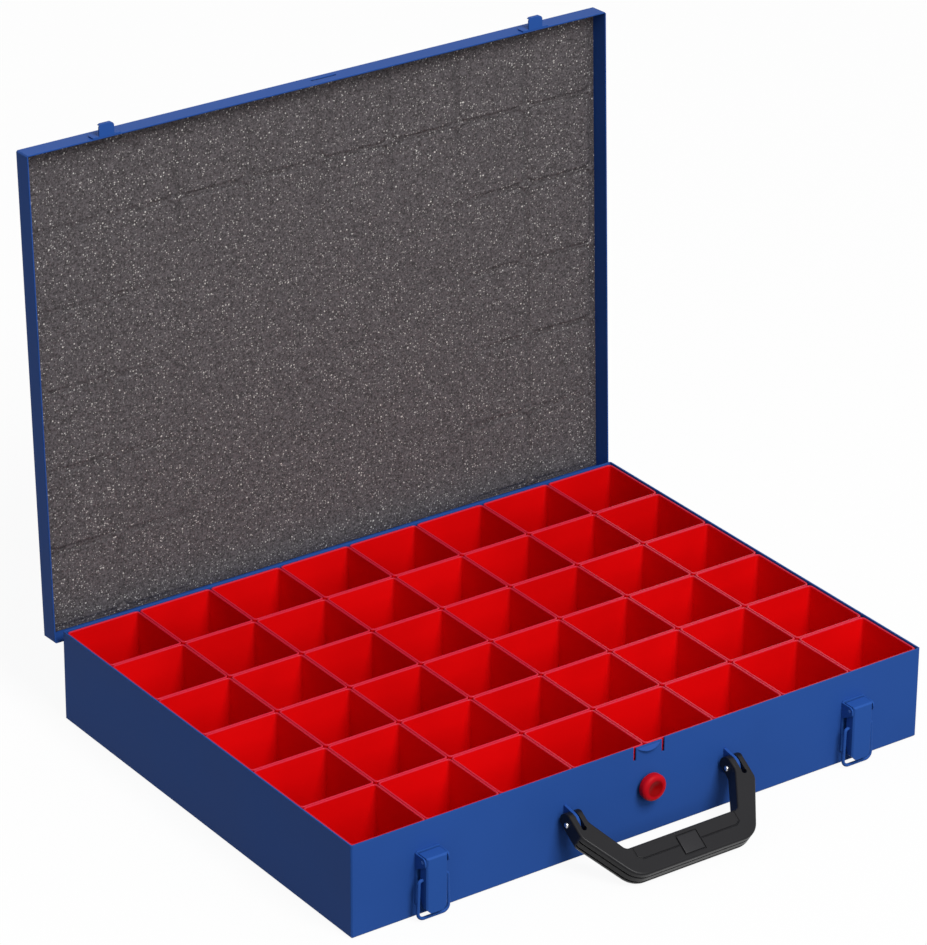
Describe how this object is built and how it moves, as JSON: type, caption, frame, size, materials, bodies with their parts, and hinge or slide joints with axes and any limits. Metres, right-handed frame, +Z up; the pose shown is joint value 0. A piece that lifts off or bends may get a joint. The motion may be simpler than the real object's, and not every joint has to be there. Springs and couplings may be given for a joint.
{
  "type": "compartment storage box",
  "caption": "Flat sheet-steel carrying case with a hinged lid, toggle latches, a folding handle and loose plastic compartment inserts.",
  "frame": {"origin": "centre of the tray's flat underside", "axes": "+X to the right along the front edge, +Y from the front with the handle towards the hinge, +Z up"},
  "size_m": [0.44, 0.4141, 0.3916],
  "materials": {
    "case_paint": "satin powder coat, blue",
    "lid_paint": "satin powder coat, blue",
    "zinc_steel": "bright zinc plate",
    "latch_paint": "satin powder coat, blue",
    "insert_plastic": "smooth, slightly glossy, red",
    "grip_plastic": "fine grain, charcoal",
    "button_plastic": "smooth, red",
    "collar_plastic": "smooth, red",
    "foam": "closed-cell sheet, dark grey with light specks"
  },
  "bodies": {
    "case": {"case_tray": "case_paint", "hinge_leaf_case": "case_paint", "hinge_pin": "zinc_steel", "latch_rivets": "zinc_steel", "button_collar": "collar_plastic", "button_spring": "zinc_steel", "handle_bracket_left": "case_paint", "handle_bracket_right": "case_paint", "latch_base_left": "latch_paint", "latch_base_right": "latch_paint", "latch_pin_left": "zinc_steel", "latch_pin_right": "zinc_steel"},
    "lid": {"lid_pan": "lid_paint", "lid_foam_liner": "foam", "hinge_leaf_lid": "lid_paint", "lid_strike_left": "latch_paint", "lid_strike_right": "latch_paint"},
    "handle": {"handle_grip": "grip_plastic", "handle_pin_left": "zinc_steel", "handle_pin_right": "zinc_steel"},
    "button": {"push_button": "button_plastic"},
    "latch_lever_left": {"latch_lever_left": "latch_paint"},
    "latch_bail_left": {"latch_bail_left": "latch_paint"},
    "latch_lever_right": {"latch_lever_right": "latch_paint"},
    "latch_bail_right": {"latch_bail_right": "latch_paint"},
    "inserts_row_1": {"insert_row_1": "insert_plastic"},
    "inserts_row_2": {"insert_row_2": "insert_plastic"},
    "inserts_row_3": {"insert_row_3": "insert_plastic"},
    "inserts_row_4": {"insert_row_4": "insert_plastic"},
    "inserts_row_5": {"insert_row_5": "insert_plastic"},
    "inserts_row_6": {"insert_row_6": "insert_plastic"}
  },
  "joints": [
    {"name": "lid_hinge", "type": "hinge", "parent": "case", "child": "lid", "pos_m": [0, 0.16733, 0.0507], "axis": [-1, 0, 0], "range_deg": [-92.4, 0]},
    {"name": "handle_swing", "type": "hinge", "parent": "case", "child": "handle", "pos_m": [0, -0.1726, 0.0324], "axis": [-1, 0, 0], "range_deg": [0, 113.8]},
    {"name": "button_press", "type": "slide", "parent": "case", "child": "button", "axis": [0, 1, 0], "range_m": [0, 0.0018], "stiffness_N_per_m": 600, "springref_m": -0.0008, "deforming": ["button_spring"]},
    {"name": "latch_lever_left_turn", "type": "hinge", "parent": "case", "child": "latch_lever_left", "pos_m": [-0.163, -0.1715, 0.0412], "axis": [-1, 0, 0], "range_deg": [0, 165]},
    {"name": "latch_bail_left_turn", "type": "hinge", "parent": "latch_lever_left", "child": "latch_bail_left", "pos_m": [-0.163, -0.1701, 0.028], "axis": [-1, 0, 0], "range_deg": [-8, 188]},
    {"name": "latch_lever_right_turn", "type": "hinge", "parent": "case", "child": "latch_lever_right", "pos_m": [0.163, -0.1715, 0.0412], "axis": [-1, 0, 0], "range_deg": [0, 165]},
    {"name": "latch_bail_right_turn", "type": "hinge", "parent": "latch_lever_right", "child": "latch_bail_right", "pos_m": [0.163, -0.1701, 0.028], "axis": [-1, 0, 0], "range_deg": [-8, 188]},
    {"name": "inserts_row_1_lift", "type": "slide", "parent": "case", "child": "inserts_row_1", "axis": [0, 0, 1], "range_m": [0, 0.07]},
    {"name": "inserts_row_2_lift", "type": "slide", "parent": "case", "child": "inserts_row_2", "axis": [0, 0, 1], "range_m": [0, 0.07]},
    {"name": "inserts_row_3_lift", "type": "slide", "parent": "case", "child": "inserts_row_3", "axis": [0, 0, 1], "range_m": [0, 0.07]},
    {"name": "inserts_row_4_lift", "type": "slide", "parent": "case", "child": "inserts_row_4", "axis": [0, 0, 1], "range_m": [0, 0.07]},
    {"name": "inserts_row_5_lift", "type": "slide", "parent": "case", "child": "inserts_row_5", "axis": [0, 0, 1], "range_m": [0, 0.07]},
    {"name": "inserts_row_6_lift", "type": "slide", "parent": "case", "child": "inserts_row_6", "axis": [0, 0, 1], "range_m": [0, 0.07]}
  ]
}
